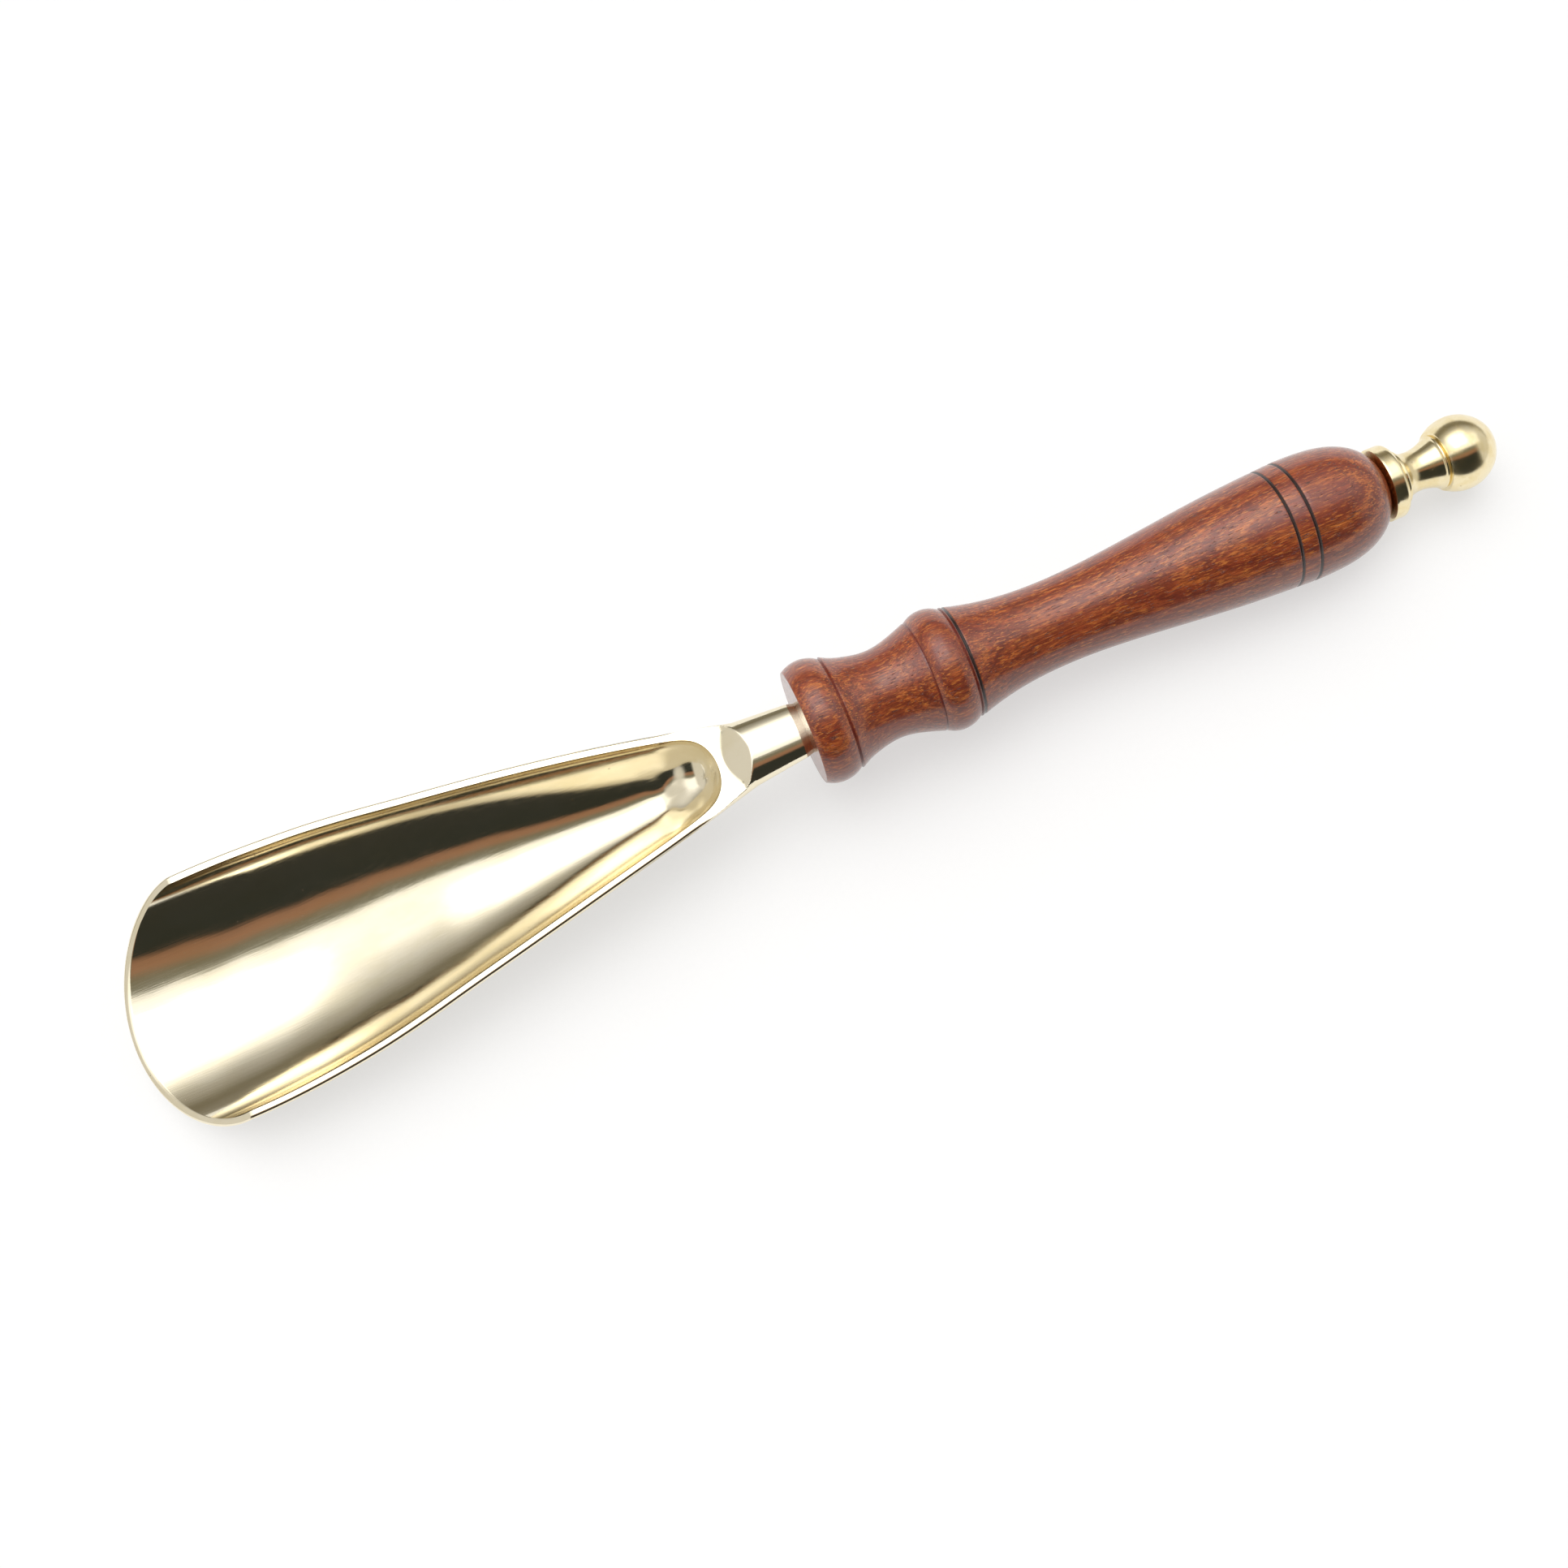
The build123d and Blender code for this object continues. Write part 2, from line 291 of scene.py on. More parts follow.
def outline_rays(rim):
    """Plan of the scoop's rays: outer point, inner point, foot on the middle line and turn at the tip."""
    centre_x = TIP_X + TIP_ROUNDING
    side_x = spread(SIDE_STEPS, SHOULDER_X, centre_x)
    turn = np.radians(spread(TIP_STEPS, 0, 90))[1:]
    tip_x = centre_x - TIP_ROUNDING * np.sin(turn)
    x = np.concatenate([side_x, tip_x])
    turn = np.concatenate([np.zeros(len(side_x)), turn])
    y = half_width(x) * np.cos(turn)
    out = np.stack([-np.sin(turn) / TIP_ROUNDING, np.cos(turn) / half_width(x)], -1)
    out /= np.linalg.norm(out, axis=1, keepdims=True)
    width = rim[0] + (TIP_RIM_WIDTH - rim[0]) * np.sin(turn) ** 2
    outer = np.stack([x, y], -1)
    foot_x = np.where(turn > 0, centre_x - TIP_FOOT_REACH * (1 - np.cos(turn)), x)
    foot = np.stack([foot_x, 0 * x], -1)
    return outer, outer - width[:, None] * out, foot, turn


def rays_grid(foot, edge, shares):
    """Plan of points on the rays from the feet to the edge."""
    xy = foot[None] + shares[:, None, None] * (edge - foot)[None]
    return xy[..., 0], xy[..., 1]


def rim_band(outer, inner, turn, rim):
    """Rows across the rim's face. The tip's rows leave the side rims' section as the rays turn."""
    x, side_y, inner_y = outer[:, 0], half_width(outer[:, 0]), hollow_width(outer[:, 0], rim)
    top = belly(outer[:, 0], outer[:, 1], rim) + EDGE_RISE + TIP_EDGE_RISE * np.sin(turn) ** 2
    inner_z = floor(inner[:, 0], inner[:, 1], rim)
    inner_top = top_surface(x, inner_y, rim)
    band = [grid(x, outer[:, 1], top)]
    for step in BAND_STEPS:
        point = outer + (inner - outer) * step
        side = top_surface(x, side_y * (1 - step) + step * inner_y, rim) - inner_top + inner_z
        across = top + (inner_z - top) * math.sqrt(1 - (1 - step) ** 2)
        band.append(grid(point[:, 0], point[:, 1], side + (across - side) * smooth_step(turn, 0, TIP_BLEND)))
    return np.stack(band)


def scoop_grids(rim):
    """Half of the scoop: belly, edge and rim band in one grid and the floor in another."""
    outer, inner, foot, turn = outline_rays(rim)
    x, y = rays_grid(foot, outer, WIDTH_SHARES[::-1])
    band = rim_band(outer, inner, turn, rim)
    outside = np.concatenate([grid(x, y, belly(x, y, rim)), band])
    x, y = rays_grid(foot, inner, WIDTH_SHARES)
    inside = grid(x, y, floor(x, y, rim))
    inside[0] = band[-1]
    return outside, inside


def horseshoe(rim):
    """Evenly spaced points along the edge of the hollow's rounded end, from the side to the middle."""
    x = HOLLOW_END_X - (HOLLOW_END_X - SHOULDER_X) * (np.linspace(1, 0, SEARCH_STEPS + 1) ** 3)
    y = hollow_width(x, rim)
    length = np.concatenate([[0], np.cumsum(np.hypot(np.diff(x), np.diff(y)))])
    at = np.linspace(0, length[-1], END_RAYS + 1)
    return np.stack([np.interp(at, length, x), np.interp(at, length, y)], -1)


def hollow_end_grid(rim):
    """Rounded end of the hollow, as rays from its edge to feet on the middle line."""
    edge = horseshoe(rim)
    foot = np.stack([spread(END_RAYS, SHOULDER_X, LAST_FOOT_X), np.zeros(END_RAYS + 1)], -1)
    x, y = rays_grid(foot, edge, WIDTH_SHARES)
    z = floor(x, y, rim)
    z[0] = top_surface(edge[:, 0], edge[:, 1], rim)
    return grid(x, y, z)


def neck_side(rim, along, settle):
    """Half of the shoulder's and neck's belly, with the side band up to where the crown starts."""
    x = SHOULDER_X * (1 - along)
    y = half_width(x) * WIDTH_SHARES[::-1, None]
    rows = [grid(x[None] + 0 * y, y, belly(x[None] + 0 * y, y, rim))]
    band_share = hollow_width(np.array(SHOULDER_X), rim) / half_width(SHOULDER_X)
    band_share = band_share + (np.cos(math.radians(CROWN_START_ANGLE)) - band_share) * settle
    band = [grid(x, half_width(x), edge_height(x, rim) + EDGE_RISE)]
    for step in BAND_STEPS:
        y = half_width(x) * (1 + (band_share - 1) * step)
        band.append(grid(x, y, top_surface(x, y, rim)))
    rows.append(np.stack(band))
    return np.concatenate(rows)


def neck_top(rim, along, settle):
    """Half of the crown, from the hollow's rounded end to the handle."""
    edge = horseshoe(rim)
    angles = np.radians(spread(END_RAYS, CROWN_START_ANGLE, 90))
    x = edge[:, :1] * (1 - along)[None]
    start_share = (edge[:, 1] / half_width(edge[:, 0]))[:, None]
    share = start_share + (np.cos(angles)[:, None] - start_share) * settle[None]
    y = half_width(x) * share
    y[-1] = 0
    return grid(x, y, top_surface(x, y, rim))


def hand_finish(points):
    """Shallow waves that filing and polishing by hand leave in the casting, as a shift in height."""
    random = np.random.RandomState(11)
    total = np.zeros(len(points))
    for _ in range(WAVE_COUNT):
        along, across = random.uniform(*WAVE_RATES), random.uniform(*CROSS_RATES)
        phase = random.uniform(0, 2 * math.pi)
        wave = np.sin(along * points[:, 0] + across * points[:, 1] + phase)
        total += wave * FULL_WAVE_RATE / (along + abs(across))
    return WAVE_HEIGHT * total / math.sqrt(WAVE_COUNT)


def hammer_marks(x, y):
    """Uneven dressing of the hollow's end wall, where the file and the hammer can't reach well."""
    random = np.random.RandomState(5)
    total = 0 * x
    for _ in range(WAVE_COUNT):
        angle, rate = random.uniform(0, math.pi), random.uniform(*HAMMER_RATES)
        phase = random.uniform(0, 2 * math.pi)
        total = total + np.sin((x * math.cos(angle) + y * math.sin(angle)) * rate + phase) / rate
    return HAMMER_HEIGHT * total / math.sqrt(WAVE_COUNT) * smooth_step(x, *HAMMER_GROWS)


def grid_faces(rows, columns, start):
    """Corners of the quads of a grid whose points are numbered from start."""
    index = start + np.arange(rows * columns).reshape(rows, columns)
    corners = [index[:-1, :-1], index[:-1, 1:], index[1:, 1:], index[1:, :-1]]
    return np.stack([c.ravel() for c in corners], -1)


def welded_mesh(name, grids, flips, tolerance=2e-3):
    """Mesh from grids of points in millimetres whose shared borders are merged."""
    points, faces, start = [], [], 0
    for part, flip in zip(grids, flips):
        quads = grid_faces(part.shape[0], part.shape[1], start)
        faces.append(quads[:, ::-1] if flip else quads)
        points.append(part.reshape(-1, 3))
        start += part.shape[0] * part.shape[1]
    points, faces = np.concatenate(points), np.concatenate(faces)
    _, first, back = np.unique(np.round(points / tolerance), axis=0, return_index=True, return_inverse=True)
    points, faces = points[first], back.reshape(-1)[faces]
    clean = []
    for quad in faces.tolist():
        corners = [v for i, v in enumerate(quad) if v != quad[i - 1]]
        if len(set(corners)) == len(corners) > 2:
            clean.append(corners)
    mesh = bpy.data.meshes.new(name)
    mesh.from_pydata(points.tolist(), [], clean)
    return mesh


def close_ends(mesh):
    """Fill what is open with a flat face and turn every face outwards."""
    work = bmesh.new()
    work.from_mesh(mesh)
    rim = [edge for edge in work.edges if len(edge.link_faces) == 1]
    if rim:
        bmesh.ops.holes_fill(work, edges=rim, sides=0)
    bmesh.ops.recalc_face_normals(work, faces=work.faces)
    work.to_mesh(mesh)
    print(mesh.name, "open edges", sum(len(e.link_faces) != 2 for e in work.edges), "faces", len(work.faces))
    work.free()


def blade_half(rim, side):
    """Grids of one half of the blade, which lies on that side of the middle."""
    along = np.linspace(0, 1, NECK_STEPS + 1)
    settle = smooth_step(along, 0, 1)
    grids = [*scoop_grids(rim), hollow_end_grid(rim)]
    grids += [neck_side(rim, along, settle), neck_top(rim, along, settle)]
    return [points * np.array([1, side, 1]) for points in grids]


def blade_mesh():
    """Whole casting: two halves with a rim each, the marks of hand work and the neck's chamfer."""
    far, near = blade_half(FAR_RIM, 1), blade_half(NEAR_RIM, -1)
    mesh = welded_mesh("blade_casting", far + near, [False] * len(far) + [True] * len(near))
    points = np.zeros(len(mesh.vertices) * 3)
    mesh.vertices.foreach_get("co", points)
    points = points.reshape(-1, 3)
    points[:, 2] += hand_finish(points) * smooth_step(-points[:, 0], *WAVES_GROW)
    chamfer = np.clip(points[:, 0] / -CHAMFER_START_X + 1, 0, 1) * CHAMFER_SHARE
    points[:, 1:] *= (1 - chamfer)[:, None]
    mesh.vertices.foreach_set("co", (points * MM).ravel())
    close_ends(mesh)
    return mesh


# --- handle and finial ---------------------------------------------------------------------------
HANDLE_LENGTH = 128.8
WOOD_END_RADIUS = 2.8  # flat disc in the middle of each end of the wood, hidden by the brass
GRIP_WIDEST = (109.9, 12.95)
FRONT_FACE = [(0, WOOD_END_RADIUS), (0, 11.85)]
FRONT_BEAD = [(0.05, 12.0), (3.6, 13.1), (7.6, 11.95)]
FRONT_QUIRK = [(7.72, 11.78), (7.85, 11.74), (7.98, 11.85), (8.1, 12.0)]
COVE = [(8.3, 11.96), (10.0, 11.1), (12.6, 10.25), (17.7, 9.5), (22.6, 10.4), (26.35, 11.65)]
MIDDLE_QUIRK = [(26.5, 11.66), (26.58, 11.5)]
REAR_BEAD = [(26.6, 11.5), (30.4, 12.9), (34.1, 11.7)]
REAR_QUIRK = [(34.2, 11.58), (34.32, 11.55), (34.5, 11.8)]
GRIP = [
    (34.62, 11.87), (36.6, 11.3), (42.6, 9.95), (54.8, 8.93), (72.5, 9.9), (93.0, 11.95), GRIP_WIDEST,
]
DOME = [
    GRIP_WIDEST, (116.5, 12.65), (122.4, 11.3), (126.7, 8.6), (128.4, 6.2), (128.75, 4.9),
    (HANDLE_LENGTH, WOOD_END_RADIUS),
]
GROOVE_XS = (34.95, 104.9, 108.9)
GROOVE_WIDTH = 0.62
GROOVE_DEPTH = 0.36
GROOVE_SHARPNESS = 1.6
GROOVE_REACH = 0.9  # widths to each side of a groove that are drawn in fine steps
GROOVE_STEPS = 12
QUIRK_XS = (7.9, 26.5, 34.3)
TURNED_SIDES = 192
WOOD_STEP = 0.45  # longest step along the wood's outline
KNOB_STEP = 0.35
SHARP_ANGLE = 38.0  # degrees past which an edge isn't smoothed

# Outline of the knob: distance past the wood's end, and radius.
KNOB_END_RADIUS = 2.6  # flat disc in the middle of its front face, hidden by the wood
FLANGE_RADIUS = 7.9
STEP_RADIUS = 5.95
WAIST_RADIUS = 4.3
RING_RADIUS = 5.8
BALL_START = 13.62
BALL_STEPS = 59
FLANGE = [
    (0, KNOB_END_RADIUS), (0, FLANGE_RADIUS - 0.2), (0.06, FLANGE_RADIUS - 0.06), (0.2, FLANGE_RADIUS),
    (2.5, FLANGE_RADIUS),
]
FLANGE_ROUND = [(2.5, FLANGE_RADIUS), (3.2, FLANGE_RADIUS - 0.35), (3.5, FLANGE_RADIUS - 1.0)]
STEP = [
    (3.56, STEP_RADIUS + 0.25), (3.62, STEP_RADIUS + 0.1), (3.8, STEP_RADIUS),
    (4.5, STEP_RADIUS), (4.68, STEP_RADIUS - 0.12), (4.8, STEP_RADIUS - 0.5),
]
WAIST = [
    (4.85, STEP_RADIUS - 0.65), (5.9, WAIST_RADIUS + 0.42), (7.9, WAIST_RADIUS),
    (10.6, WAIST_RADIUS + 0.36), (12.6, RING_RADIUS - 0.4),
]
RING = [(12.75, RING_RADIUS - 0.22), (13.1, RING_RADIUS), (13.4, RING_RADIUS - 0.2)]
RING_FOOT = [(13.5, RING_RADIUS - 0.34)]


def arc(start, middle, end, count):
    """Points of the circular arc through three points."""
    (ax, ay), (bx, by), (cx, cy) = start, middle, end
    d = 2 * (ax * (by - cy) + bx * (cy - ay) + cx * (ay - by))
    a2, b2, c2 = ax * ax + ay * ay, bx * bx + by * by, cx * cx + cy * cy
    x = (a2 * (by - cy) + b2 * (cy - ay) + c2 * (ay - by)) / d
    y = (a2 * (cx - bx) + b2 * (ax - cx) + c2 * (bx - ax)) / d
    angles = np.unwrap([math.atan2(p[1] - y, p[0] - x) for p in (start, middle, end)])
    at = np.linspace(angles[0], angles[2], count + 1)
    radius = math.hypot(ax - x, ay - y)
    return [(x + radius * math.cos(a), y + radius * math.sin(a)) for a in at]


def curve_through(points, count):
    """Points of a smooth curve through the given points."""
    points = np.array(points, float)
    at = np.concatenate([[0], np.cumsum(np.hypot(*np.diff(points, axis=0).T))])
    fine = np.linspace(0, at[-1], count + 1)
    x, radius = (natural_spline(np.stack([at, values], -1))(fine) for values in points.T)
    return list(zip(x, radius))


def resampled(points, step):
    """The same outline with points no further apart than the step."""
    out = [points[0]]
    for (x, radius), (next_x, next_radius) in zip(points, points[1:]):
        count = max(1, math.ceil(math.dist((x, radius), (next_x, next_radius)) / step))
        for k in range(1, count + 1):
            out.append((x + (next_x - x) * k / count, radius + (next_radius - radius) * k / count))
    return np.array(out)


def with_grooves(profile):
    """The wood's outline with the ring grooves cut in."""
    order = np.argsort(profile[:, 0], kind="stable")
    fine = []
    for groove_x in GROOVE_XS:
        for x in groove_x + GROOVE_WIDTH * np.linspace(-GROOVE_REACH, GROOVE_REACH, GROOVE_STEPS + 1):
            fine.append((x, np.interp(x, profile[order, 0], profile[order, 1])))
    reach = GROOVE_WIDTH * GROOVE_REACH
    clear = [tuple(p) for p in profile if all(abs(p[0] - groove_x) > reach for groove_x in GROOVE_XS)]
    front = [p for p in clear if p[0] <= GROOVE_XS[0]]
    rest = [p for p in clear if p[0] > GROOVE_XS[0]]
    outline = np.array(front + sorted(fine + rest, key=lambda p: p[0]))
    for groove_x in GROOVE_XS:
        away = (outline[:, 0] - groove_x) / (GROOVE_WIDTH / 2)
        outline[:, 1] -= GROOVE_DEPTH * np.exp(-GROOVE_SHARPNESS * away**2)
    return outline


def handle_profile():
    """Turned outline of the wood: bead, quirk, cove, quirk, bead, quirk, grip and dome."""
    points = FRONT_FACE + [FRONT_BEAD[0]]
    points += arc(*FRONT_BEAD, 40)[1:]
    points += FRONT_QUIRK + [COVE[0]]
    points += curve_through(COVE, 60)[1:]
    points += MIDDLE_QUIRK
    points += arc(*REAR_BEAD, 44)[1:]
    points += REAR_QUIRK + [GRIP[0]]
    points += curve_through(GRIP, 180)[1:]
    points += curve_through(DOME, 110)[1:]
    return with_grooves(resampled(points, WOOD_STEP))


def past_wood(points):
    """The same points with their distances counted from the wood's front face."""
    return [(HANDLE_LENGTH + x, radius) for x, radius in points]


def finial_profile():
    """Turned outline of the knob: flange, step, waist, ring and ball."""
    points = past_wood(FLANGE)
    points += arc(*past_wood(FLANGE_ROUND), 10)[1:]
    points += past_wood(STEP)
    points += curve_through(past_wood(WAIST), 36)
    points += arc(*past_wood(RING), 8)
    points += past_wood(RING_FOOT)
    turn = math.acos((HANDLE_LENGTH + BALL_START - BALL_CENTRE_X) / BALL_RADIUS)
    for angle in np.linspace(turn, 0, BALL_STEPS + 1):
        points.append((BALL_CENTRE_X + BALL_RADIUS * math.cos(angle), BALL_RADIUS * math.sin(angle)))
    return resampled(points, KNOB_STEP)


def turned_mesh(name, profile):
    """Solid of revolution about the handle's axis. A profile that ends on the axis closes there."""
    turn = np.linspace(0, 2 * math.pi, TURNED_SIDES + 1)
    x, radius = profile[:, :1], np.maximum(profile[:, 1:], 0)
    turned = grid(x + 0 * turn, radius * np.cos(turn), radius * np.sin(turn))
    mesh = welded_mesh(name, [turned], [False], tolerance=1e-4)
    mesh.transform(Matrix.Scale(MM, 4))
    close_ends(mesh)
    return mesh


# --- placing -------------------------------------------------------------------------------------
def handle_frame():
    """Matrix that takes the handle's own frame to the row frame, from the stud and the ball."""
    low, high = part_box("tie_rod")
    middle = (low + high) / 2
    low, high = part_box("finial")
    ball = Vector((high.x - BALL_RADIUS * MM, middle.y, low.z + BALL_RADIUS * MM))
    along = (ball - middle).normalized()
    side = Vector((0, 1, 0))
    up = along.cross(side)
    origin = middle - along * ROD_MIDDLE_X * MM
    return Matrix.Translation(origin) @ Matrix((along, side, up)).transposed().to_4x4()


HANDLE_FRAME = handle_frame()


def add_piece(mesh, node, material):
    """Show the mesh in place of the CAD node."""
    mesh.transform(HANDLE_FRAME)
    piece = bpy.data.objects.new(mesh.name, mesh)
    bpy.context.scene.collection.objects.link(piece)
    mesh.materials.append(material)
    mesh.polygons.foreach_set("use_smooth", [True] * len(mesh.polygons))
    mesh.set_sharp_from_angle(angle=math.radians(SHARP_ANGLE))
    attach(piece, "root")
    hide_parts(node)


# --- shader helpers ------------------------------------------------------------------------------
class Nodes:
    """Short way to write a node tree."""

    def __init__(self, tree):
        self.tree = tree
        tree.nodes.clear()

    def put(self, value, socket):
        if isinstance(value, bpy.types.NodeSocket):
            self.tree.links.new(value, socket)
        elif value is not None:
            socket.default_value = value

    def new(self, kind, inputs=(), output=0, **settings):
        node = self.tree.nodes.new(kind)
        for name, value in settings.items():
            setattr(node, name, value)
        for key, value in dict(inputs).items():
            self.put(value, node.inputs[key])
        return node.outputs[output]

    def math(self, operation, a, b=None):
        values = [value for value in (a, b) if value is not None]
        return self.new("ShaderNodeMath", enumerate(values), operation=operation)

    def axes(self, vector):
        """The vector's three components."""
        parts = self.new("ShaderNodeSeparateXYZ", {0: vector}).node
        return [parts.outputs[i] for i in range(3)]

    def scaled(self, vector, scale, shift=(0, 0, 0)):
        return self.new("ShaderNodeMapping", {"Vector": vector, "Scale": scale, "Location": shift})

    def noise(self, vector, scale=1.0, detail=3.0, roughness=0.5, distortion=0.0):
        inputs = {"Vector": vector, "Scale": scale, "Detail": detail, "Roughness": roughness}
        inputs["Distortion"] = distortion
        return self.new("ShaderNodeTexNoise", inputs)

    def range(self, value, start, end, to_start=0.0, to_end=1.0):
        inputs = {"Value": value, "From Min": start, "From Max": end, "To Min": to_start, "To Max": to_end}
        return self.new("ShaderNodeMapRange", inputs, interpolation_type="SMOOTHSTEP")

    def window(self, value, rise, fall):
        """1 between the rise and the fall, 0 outside them."""
        return self.math("MULTIPLY", self.range(value, *rise), self.range(value, *fall, 1.0, 0.0))

    def mix(self, share, a, b):
        """Colour a where the share is 0 and b where it is 1."""
        node = self.tree.nodes.new("ShaderNodeMix")
        node.data_type = "RGBA"
        self.put(share, node.inputs[0])
        self.put(a, node.inputs[6])
        self.put(b, node.inputs[7])
        return node.outputs[2]

    def ramp(self, value, stops):
        """Colour between the stops, each of which is a place and a colour."""
        node = self.tree.nodes.new("ShaderNodeValToRGB")
        elements = node.color_ramp.elements
        while len(elements) < len(stops):
            elements.new(0.5)
        for element, (place, colour) in zip(elements, stops):
            element.position, element.color = place, colour
        self.put(value, node.inputs[0])
        return node.outputs[0]

    def bump(self, height, distance, strength=1.0):
        inputs = {"Height": height, "Distance": distance, "Strength": strength}
        return self.new("ShaderNodeBump", inputs)


def new_material(name):
    material = bpy.data.materials.new(name)
    material.use_nodes = True
    return material, Nodes(material.node_tree)


def surface(nodes, linked, fixed):
    """Principled shader: linked values vary over the surface, fixed ones are set on its sockets."""
    shader = nodes.tree.nodes.new("ShaderNodeBsdfPrincipled")
    for key, value in {**linked, **fixed}.items():
        nodes.put(value, shader.inputs[key])
    output = nodes.tree.nodes.new("ShaderNodeOutputMaterial")
    nodes.tree.links.new(shader.outputs[0], output.inputs[0])


def object_mm(nodes):
    """Place on the piece in millimetres, in the handle's frame."""
    place = nodes.new("ShaderNodeTexCoord", output=3)
    back = HANDLE_FRAME.inverted()
    inputs = {"Vector": place, "Location": back.translation / MM, "Rotation": back.to_euler()}
    inputs["Scale"] = (1 / MM,) * 3
    return nodes.new("ShaderNodeMapping", inputs)


SRGB_DARK = 10  # 8-bit sRGB values below this follow a straight line


def rgb(red, green, blue):
    """Linear colour from an 8-bit sRGB one."""
    linear = []
    for value in (red, green, blue):
        share = value / 255
        linear.append(share / 12.92 if value < SRGB_DARK else ((share + 0.055) / 1.055) ** 2.4)
    return (*linear, 1.0)


# --- materials -----------------------------------------------------------------------------------
def blade_brass():
    """Hand-polished pale brass: long fine polishing lines, faint tarnish and a few pits."""
    material, n = new_material("blade_brass")
    place = object_mm(n)
    lines = n.noise(n.scaled(place, (0.035, 3.2, 1.6)), 1.0, 5.0, 0.62)
    cloud = n.noise(n.scaled(place, (0.05, 0.12, 0.12)), 1.0, 4.0, 0.6)
    colour = n.mix(n.range(cloud, 0.35, 0.7), (0.91, 0.835, 0.66, 1), (0.87, 0.785, 0.58, 1))
    roughness = n.range(lines, 0.3, 0.75, 0.07, 0.15)
    pit_spots = n.noise(n.scaled(place, (1.3, 1.6, 1.6)), 1.0, 2.0, 0.5)
    pits = n.range(pit_spots, 0.76, 0.82)
    colour = n.mix(pits, colour, (0.25, 0.16, 0.06, 1))
    height = n.math("SUBTRACT", n.math("MULTIPLY", lines, 0.35), pits)
    normal = n.bump(height, 0.02 * MM)
    surface(n, {"Base Color": colour, "Roughness": roughness, "Normal": normal}, {"Metallic": 1.0})
    return material


def finial_brass():
    """Turned yellow brass: turning marks round the axis, satin blotches, dark pits."""
    material, n = new_material("finial_brass")
    place = object_mm(n)
    blotch = n.noise(n.scaled(place, (0.35, 0.35, 0.35)), 1.0, 4.0, 0.6)
    colour = n.mix(n.range(blotch, 0.35, 0.7), (0.90, 0.79, 0.53, 1), (0.85, 0.71, 0.41, 1))
    marks = n.noise(n.scaled(place, (7.0, 0.25, 0.25)), 1.0, 3.0, 0.6)
    spots = n.noise(n.scaled(place, (1.9, 1.9, 1.9)), 1.0, 2.0, 0.5)
    pits = n.range(spots, 0.74, 0.79)
    colour = n.mix(pits, colour, (0.16, 0.09, 0.03, 1))
    roughness = n.math("ADD", n.range(blotch, 0.3, 0.75, 0.13, 0.24), n.math("MULTIPLY", pits, 0.3))
    height = n.math("SUBTRACT", n.math("MULTIPLY", marks, 0.4), pits)
    normal = n.bump(height, 0.02 * MM)
    surface(n, {"Base Color": colour, "Roughness": roughness, "Normal": normal}, {"Metallic": 1.0})
    return material


WOOD_LAYERS = [
    (0.28, rgb(98, 34, 13)), (0.43, rgb(132, 52, 21)), (0.55, rgb(160, 76, 30)), (0.70, rgb(200, 114, 46)),
]
FIBRE_BROWN = rgb(80, 28, 12)
STREAK_BROWN = rgb(88, 30, 12)
FLECK_GOLD = rgb(196, 118, 50)
CLOUD_RED = rgb(118, 42, 22)
PORE_BROWN = rgb(58, 18, 10)
QUIRK_RED = rgb(92, 26, 20)
BURNT_BLACK = rgb(24, 10, 8)
PITH_DISTANCE = 34.0
TREE_UP = (-0.23, 0.97)  # direction away from the pith, in the handle's Y and Z


def growth_layers(n, place, x, y, z):
    """Layers of a tree whose pith lies well under the handle, drifting and wavering along it."""
    drift = n.noise(n.scaled(place, (0.03, 0.07, 0.07), (3, 1, 7)), 1.0, 3.0, 0.55)
    wobble = n.noise(n.scaled(place, (0.12, 0.5, 0.5)), 1.0, 4.0, 0.6)
    depth = n.math("ADD", n.math("MULTIPLY", y, TREE_UP[0]), n.math("MULTIPLY", z, TREE_UP[1]))
    side = n.math("ADD", n.math("MULTIPLY", y, TREE_UP[1]), n.math("MULTIPLY", z, -TREE_UP[0]))
    pith = n.math("ADD", depth, PITH_DISTANCE)
    rings = n.math("SQRT", n.math("ADD", n.math("MULTIPLY", pith, pith), n.math("MULTIPLY", side, side)))
    rings = n.math("ADD", rings, n.math("MULTIPLY", x, 0.012))
    rings = n.math("ADD", rings, n.math("MULTIPLY", drift, 4.5))
    rings = n.math("ADD", rings, n.math("MULTIPLY", wobble, 0.9))
    return n.noise(n.new("ShaderNodeCombineXYZ", {0: rings}), 1.15, 3.0, 0.6)


def turned_marks(n, x, places, near, far, strength):
    """Marks that run round the wood at the places: full up to near, gone at far."""
    marks = None
    for mark_x in places:
        away = n.math("ABSOLUTE", n.math("SUBTRACT", x, mark_x))
        mark = n.range(away, near, far, strength, 0.0)
        marks = mark if marks is None else n.math("MAXIMUM", marks, mark)
    return marks


